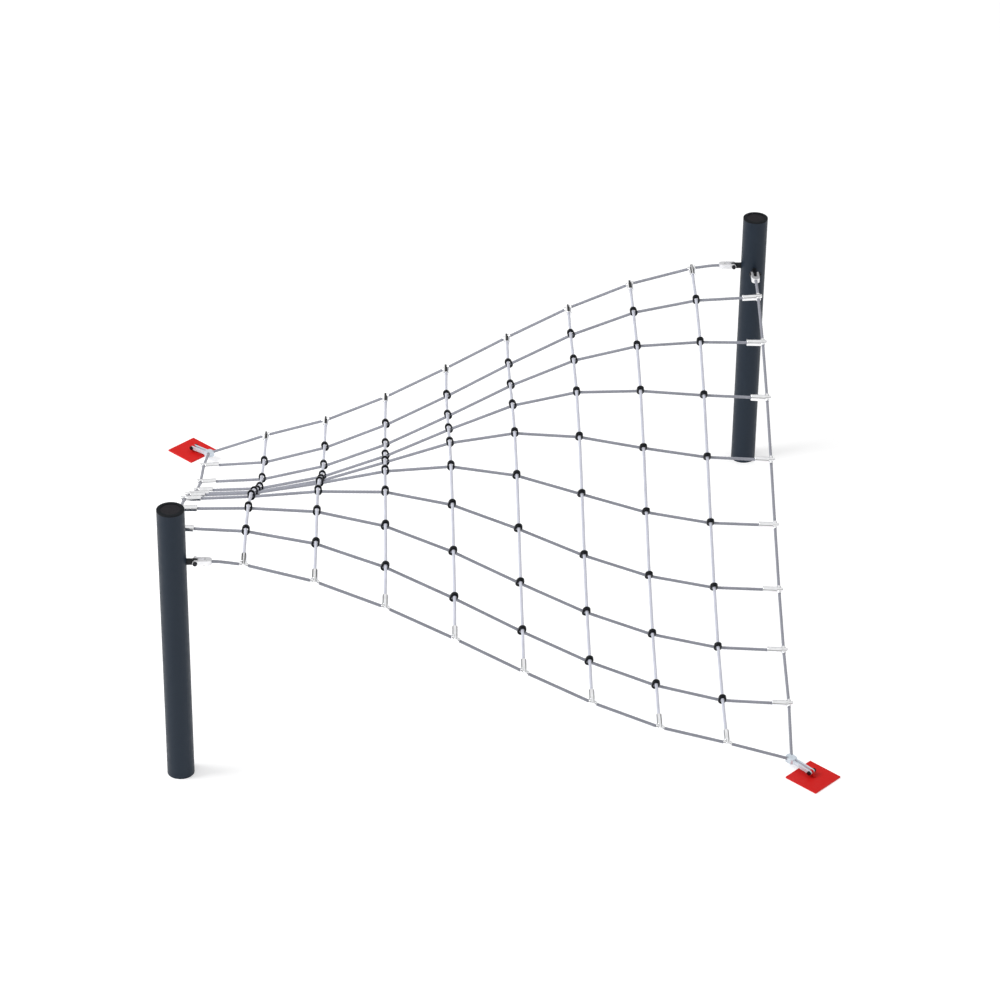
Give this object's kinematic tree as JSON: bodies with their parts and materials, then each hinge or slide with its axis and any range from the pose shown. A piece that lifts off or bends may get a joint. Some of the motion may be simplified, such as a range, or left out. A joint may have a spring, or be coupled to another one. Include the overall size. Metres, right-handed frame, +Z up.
{
  "type": "cargo climbing net",
  "caption": "Twisted rope climbing net hung from two posts and held down at two ground anchor plates, for a playground.",
  "frame": {"origin": "on the ground, in the middle of the net", "axes": "+X towards the right anchor plate, +Y towards the rear post, +Z up"},
  "size_m": [4.6766, 4.3756, 1.5],
  "materials": {
    "post_coating": "anthracite powder coat, satin",
    "cap_plastic": "black moulded plastic",
    "black_steel": "black coated steel",
    "black_bolt": "black oxide bolts and nuts",
    "polished_fork": "polished stainless steel",
    "clevis_aluminium": "smooth cast aluminium, pale blue grey",
    "red_coating": "red powder coat",
    "rope_yarn": "laid polyester rope, silver grey",
    "rope_yarn_pale": "laid polyester rope, pale silver",
    "clamp_plastic": "black moulded nylon",
    "ferrule_aluminium": "pressed and polished aluminium"
  },
  "bodies": {
    "frame_and_net": {"front_post_tube": "post_coating", "front_post_cap": "cap_plastic", "rear_post_tube": "post_coating", "rear_post_cap": "cap_plastic", "front_right_post_lug": "black_steel", "front_left_post_lug": "black_steel", "rear_left_post_lug": "black_steel", "rear_right_post_lug": "black_steel", "left_anchor_plate": "red_coating", "left_anchor_lug": "red_coating", "right_anchor_plate": "red_coating", "right_anchor_lug": "red_coating", "front_right_edge_rope": "rope_yarn", "front_left_edge_rope": "rope_yarn", "rear_left_edge_rope": "rope_yarn", "rear_right_edge_rope": "rope_yarn", "cross_rope_1": "rope_yarn_pale", "long_rope_1": "rope_yarn", "clamp_row_1": "clamp_plastic", "cross_rope_2": "rope_yarn_pale", "long_rope_2": "rope_yarn", "clamp_row_2": "clamp_plastic", "cross_rope_3": "rope_yarn_pale", "long_rope_3": "rope_yarn", "clamp_row_3": "clamp_plastic", "cross_rope_4": "rope_yarn_pale", "long_rope_4": "rope_yarn", "clamp_row_4": "clamp_plastic", "cross_rope_5": "rope_yarn_pale", "long_rope_5": "rope_yarn", "clamp_row_5": "clamp_plastic", "cross_rope_6": "rope_yarn_pale", "long_rope_6": "rope_yarn", "clamp_row_6": "clamp_plastic", "cross_rope_7": "rope_yarn_pale", "long_rope_7": "rope_yarn", "clamp_row_7": "clamp_plastic", "cross_rope_8": "rope_yarn_pale", "long_rope_8": "rope_yarn", "clamp_row_8": "clamp_plastic", "front_right_ferrules": "ferrule_aluminium", "front_left_ferrules": "ferrule_aluminium", "rear_left_ferrules": "ferrule_aluminium", "rear_right_ferrules": "ferrule_aluminium"},
    "front_right_terminal": {"front_right_fork": "polished_fork", "front_right_fork_bolt": "black_bolt"},
    "front_left_terminal": {"front_left_fork": "polished_fork", "front_left_fork_bolt": "black_bolt"},
    "rear_left_terminal": {"rear_left_fork": "polished_fork", "rear_left_fork_bolt": "black_bolt"},
    "rear_right_terminal": {"rear_right_fork": "polished_fork", "rear_right_fork_bolt": "black_bolt"},
    "left_corner": {"left_corner_clevis": "clevis_aluminium", "left_anchor_bolt": "black_bolt"},
    "right_corner": {"right_corner_clevis": "clevis_aluminium", "right_anchor_bolt": "black_bolt"}
  },
  "joints": [
    {"name": "front_right_terminal_swing", "type": "hinge", "parent": "frame_and_net", "child": "front_right_terminal", "pos_m": [0.07531, -2.04601, 1.21], "axis": [-0.7071, 0.7071, 0], "range_deg": [-5, 5], "stiffness_Nm_per_rad": 60, "deforming": ["front_right_edge_rope"]},
    {"name": "front_left_terminal_swing", "type": "hinge", "parent": "frame_and_net", "child": "front_left_terminal", "pos_m": [-0.07531, -2.04601, 1.21], "axis": [-0.7071, -0.7071, 0], "range_deg": [-5, 5], "stiffness_Nm_per_rad": 60, "deforming": ["front_left_edge_rope"]},
    {"name": "rear_left_terminal_swing", "type": "hinge", "parent": "frame_and_net", "child": "rear_left_terminal", "pos_m": [-0.07531, 2.04601, 1.21], "axis": [0.7071, -0.7071, 0], "range_deg": [-5, 5], "stiffness_Nm_per_rad": 60, "deforming": ["rear_left_edge_rope"]},
    {"name": "rear_right_terminal_swing", "type": "hinge", "parent": "frame_and_net", "child": "rear_right_terminal", "pos_m": [0.07531, 2.04601, 1.21], "axis": [0.7071, 0.7071, 0], "range_deg": [-5, 5], "stiffness_Nm_per_rad": 60, "deforming": ["rear_right_edge_rope"]},
    {"name": "left_corner_swing", "type": "hinge", "parent": "frame_and_net", "child": "left_corner", "pos_m": [-2.23132, 0, 0.03], "axis": [0, 1, 0], "range_deg": [-5, 5], "stiffness_Nm_per_rad": 120},
    {"name": "right_corner_swing", "type": "hinge", "parent": "frame_and_net", "child": "right_corner", "pos_m": [2.23132, 0, 0.03], "axis": [0, 1, 0], "range_deg": [-5, 5], "stiffness_Nm_per_rad": 120}
  ]
}
